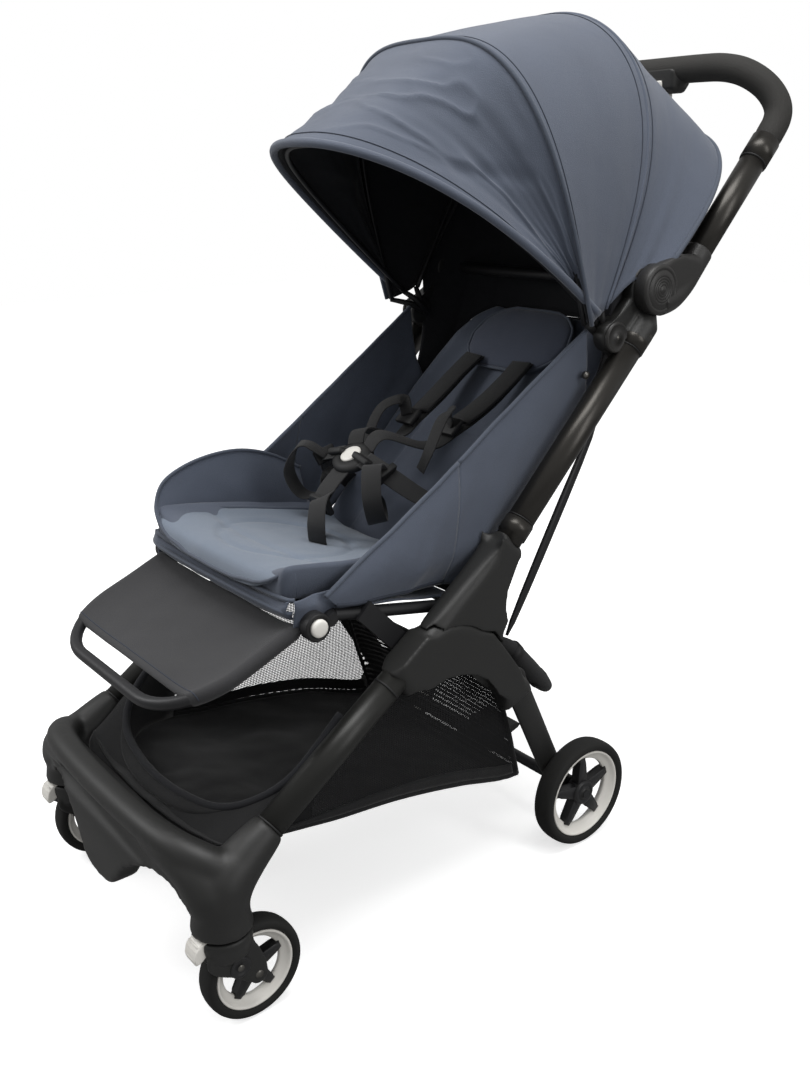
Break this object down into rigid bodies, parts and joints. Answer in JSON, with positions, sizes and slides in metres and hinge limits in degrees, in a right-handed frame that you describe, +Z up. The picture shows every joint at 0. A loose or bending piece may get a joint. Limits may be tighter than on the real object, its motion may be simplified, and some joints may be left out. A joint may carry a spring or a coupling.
{
  "type": "baby stroller",
  "caption": "Compact folding pushchair with a hooded reclining seat, harness, adjustable leg rest, storage basket, swivel front wheels and a flip-over push handle.",
  "frame": {"origin": "middle of the footprint box on the floor", "axes": "+X the child's left, -Y the front, +Z up"},
  "size_m": [0.476, 0.984, 1.097],
  "materials": {
    "frame_dark": "fine matte texture",
    "frame_tube": "matte powder coat",
    "tube_light": "satin anodised",
    "disc_grey": "matte moulded",
    "steel_dark": "matte",
    "seat_cloth": "woven",
    "head_cloth": "woven",
    "webbing": "webbing",
    "buckle_plastic": "matte",
    "white_plastic": "satin",
    "white_rim": "satin",
    "black_cloth": "woven with mesh sides",
    "panel_cloth": "woven",
    "tyre_rubber": "matte foam rubber",
    "hub_plastic": "matte",
    "grip_rubber": "textured"
  },
  "bodies": {
    "front_frame": {"front_tube_left": "frame_tube", "front_tube_right": "frame_tube", "front_apron": "frame_dark", "arch_left": "frame_dark", "arch_right": "frame_dark", "seat_frame": "steel_dark", "seat_cushion": "seat_cloth", "crotch_strap": "webbing", "buckle": "buckle_plastic", "basket": "black_cloth"},
    "buckle_button": {"buckle_button": "white_plastic"},
    "side_brackets": {"side_bracket_left": "frame_dark", "side_bracket_right": "frame_dark"},
    "upper_frame": {"upper_tube_left": "tube_light", "upper_tube_right": "tube_light", "upper_hinge_left": "frame_dark", "upper_hinge_right": "frame_dark", "back_cross_tube": "steel_dark", "side_panel_left": "seat_cloth", "side_panel_right": "seat_cloth"},
    "backrest": {"back_cushion": "seat_cloth", "head_pad": "head_cloth", "shoulder_straps": "webbing"},
    "handle": {"handle_tube": "tube_light", "handle_grip": "grip_rubber", "handle_disc_left": "disc_grey", "handle_disc_right": "disc_grey", "fold_housing": "frame_dark"},
    "fold_button": {"fold_button": "white_plastic"},
    "rear_legs": {"rear_leg_left": "frame_dark", "rear_leg_right": "frame_dark", "rear_axle": "steel_dark"},
    "brake_pedal": {"brake_pedal": "frame_dark"},
    "leg_rest": {"leg_rest_frame": "steel_dark", "leg_rest_panel": "panel_cloth"},
    "rear_bow": {"rear_bow": "steel_dark", "rear_canopy": "seat_cloth"},
    "middle_bow": {"middle_bow": "steel_dark", "middle_canopy": "seat_cloth"},
    "visor_bow": {"visor_bow": "steel_dark"},
    "caster_left": {"caster_fork_left": "frame_dark"},
    "swivel_lock_left": {"swivel_lock_left": "white_plastic"},
    "front_wheel_left": {"front_tyre_left": "tyre_rubber", "front_rim_left": "white_rim", "front_hub_left": "hub_plastic"},
    "rear_wheel_left": {"rear_tyre_left": "tyre_rubber", "rear_rim_left": "white_rim", "rear_hub_left": "hub_plastic"},
    "strut_left": {"strut_left": "steel_dark"},
    "rest_button_left": {"rest_button_left": "white_plastic"},
    "caster_right": {"caster_fork_right": "frame_dark"},
    "swivel_lock_right": {"swivel_lock_right": "white_plastic"},
    "front_wheel_right": {"front_tyre_right": "tyre_rubber", "front_rim_right": "white_rim", "front_hub_right": "hub_plastic"},
    "rear_wheel_right": {"rear_tyre_right": "tyre_rubber", "rear_rim_right": "white_rim", "rear_hub_right": "hub_plastic"},
    "strut_right": {"strut_right": "steel_dark"},
    "rest_button_right": {"rest_button_right": "white_plastic"}
  },
  "joints": [
    {"name": "frame_fold", "type": "hinge", "parent": "front_frame", "child": "side_brackets", "pos_m": [0, -0.158, 0.39], "axis": [1, 0, 0], "range_deg": [0, 85]},
    {"name": "upper_fold", "type": "hinge", "parent": "side_brackets", "child": "upper_frame", "pos_m": [0, -0.029, 0.486], "axis": [1, 0, 0], "range_deg": [0, 84.1], "deforming": ["side_panel_left", "side_panel_right", "crotch_strap", "buckle", "buckle_button", "shoulder_straps"]},
    {"name": "handle_fold", "type": "hinge", "parent": "upper_frame", "child": "handle", "pos_m": [0, 0.228, 0.76], "axis": [1, 0, 0], "range_deg": [0, 176]},
    {"name": "rear_leg_fold", "type": "hinge", "parent": "front_frame", "child": "rear_legs", "pos_m": [0, 0.004, 0.288], "axis": [-1, 0, 0], "range_deg": [0, 85.1]},
    {"name": "rear_bow_fold", "type": "hinge", "parent": "upper_frame", "child": "rear_bow", "pos_m": [0, 0.167, 0.705], "axis": [1, 0, 0], "range_deg": [0, 139.1], "deforming": ["rear_canopy", "middle_canopy", "rear_bow", "middle_bow", "visor_bow"]},
    {"name": "middle_bow_fold", "type": "hinge", "parent": "rear_bow", "child": "middle_bow", "pos_m": [0, 0.167, 0.705], "axis": [-1, 0, 0], "range_deg": [0, 28.1]},
    {"name": "visor_bow_fold", "type": "hinge", "parent": "middle_bow", "child": "visor_bow", "pos_m": [0, 0.167, 0.705], "axis": [-1, 0, 0], "range_deg": [0, 21.1]},
    {"name": "recline", "type": "hinge", "parent": "upper_frame", "child": "backrest", "pos_m": [0, -0.066, 0.3988], "axis": [-1, 0, 0], "range_deg": [0, 22]},
    {"name": "leg_rest_tilt", "type": "hinge", "parent": "front_frame", "child": "leg_rest", "pos_m": [0, -0.279, 0.43], "axis": [1, 0, 0], "range_deg": [-22, 24]},
    {"name": "caster_turn_left", "type": "hinge", "parent": "front_frame", "child": "caster_left", "pos_m": [0.205, -0.436, 0.12], "axis": [0, 0, 1], "continuous": true},
    {"name": "front_wheel_spin_left", "type": "hinge", "parent": "caster_left", "child": "front_wheel_left", "pos_m": [0.206, -0.405, 0.061], "axis": [1, 0, 0], "continuous": true},
    {"name": "swivel_lock_flip_left", "type": "hinge", "parent": "caster_left", "child": "swivel_lock_left", "pos_m": [0.206, -0.463, 0.118], "axis": [-1, 0, 0], "range_deg": [0, 16]},
    {"name": "rear_wheel_spin_left", "type": "hinge", "parent": "rear_legs", "child": "rear_wheel_left", "pos_m": [0.207, 0.13, 0.077], "axis": [1, 0, 0], "continuous": true},
    {"name": "strut_fold_left", "type": "hinge", "parent": "upper_frame", "child": "strut_left", "pos_m": [0.175, 0.165, 0.592], "axis": [-1, 0, 0], "range_deg": [0, 13.8]},
    {"name": "rest_button_press_left", "type": "slide", "parent": "front_frame", "child": "rest_button_left", "axis": [-1, 0, 0], "range_m": [0, 0.0022], "stiffness_N_per_m": 300, "springref_m": -0.001},
    {"name": "caster_turn_right", "type": "hinge", "parent": "front_frame", "child": "caster_right", "pos_m": [-0.205, -0.436, 0.12], "axis": [0, 0, 1], "continuous": true},
    {"name": "front_wheel_spin_right", "type": "hinge", "parent": "caster_right", "child": "front_wheel_right", "pos_m": [-0.206, -0.405, 0.061], "axis": [1, 0, 0], "continuous": true},
    {"name": "swivel_lock_flip_right", "type": "hinge", "parent": "caster_right", "child": "swivel_lock_right", "pos_m": [-0.206, -0.463, 0.118], "axis": [-1, 0, 0], "range_deg": [0, 16]},
    {"name": "rear_wheel_spin_right", "type": "hinge", "parent": "rear_legs", "child": "rear_wheel_right", "pos_m": [-0.207, 0.13, 0.077], "axis": [1, 0, 0], "continuous": true},
    {"name": "strut_fold_right", "type": "hinge", "parent": "upper_frame", "child": "strut_right", "pos_m": [-0.175, 0.165, 0.592], "axis": [-1, 0, 0], "range_deg": [0, 13.8]},
    {"name": "rest_button_press_right", "type": "slide", "parent": "front_frame", "child": "rest_button_right", "axis": [1, 0, 0], "range_m": [0, 0.0022], "stiffness_N_per_m": 300, "springref_m": -0.001},
    {"name": "brake_press", "type": "hinge", "parent": "rear_legs", "child": "brake_pedal", "pos_m": [0, 0.13, 0.077], "axis": [-1, 0, 0], "range_deg": [0, 20]},
    {"name": "fold_button_press", "type": "slide", "parent": "handle", "child": "fold_button", "axis": [0, 1, 0], "range_m": [0, 0.003], "stiffness_N_per_m": 300, "springref_m": -0.001},
    {"name": "buckle_button_press", "type": "slide", "parent": "front_frame", "child": "buckle_button", "axis": [0, 0.866, -0.5], "range_m": [0, 0.003], "stiffness_N_per_m": 300, "springref_m": -0.001}
  ],
  "couplings": [
    {"joint": "upper_fold", "follows": "frame_fold", "ratio": 0.98823},
    {"joint": "rear_leg_fold", "follows": "frame_fold", "ratio": 1},
    {"joint": "rear_bow_fold", "follows": "frame_fold", "ratio": 1.6353},
    {"joint": "middle_bow_fold", "follows": "frame_fold", "ratio": 0.32941},
    {"joint": "visor_bow_fold", "follows": "frame_fold", "ratio": 0.24706},
    {"joint": "strut_fold_left", "follows": "frame_fold", "ratio": 0.16118},
    {"joint": "strut_fold_right", "follows": "frame_fold", "ratio": 0.16118}
  ]
}
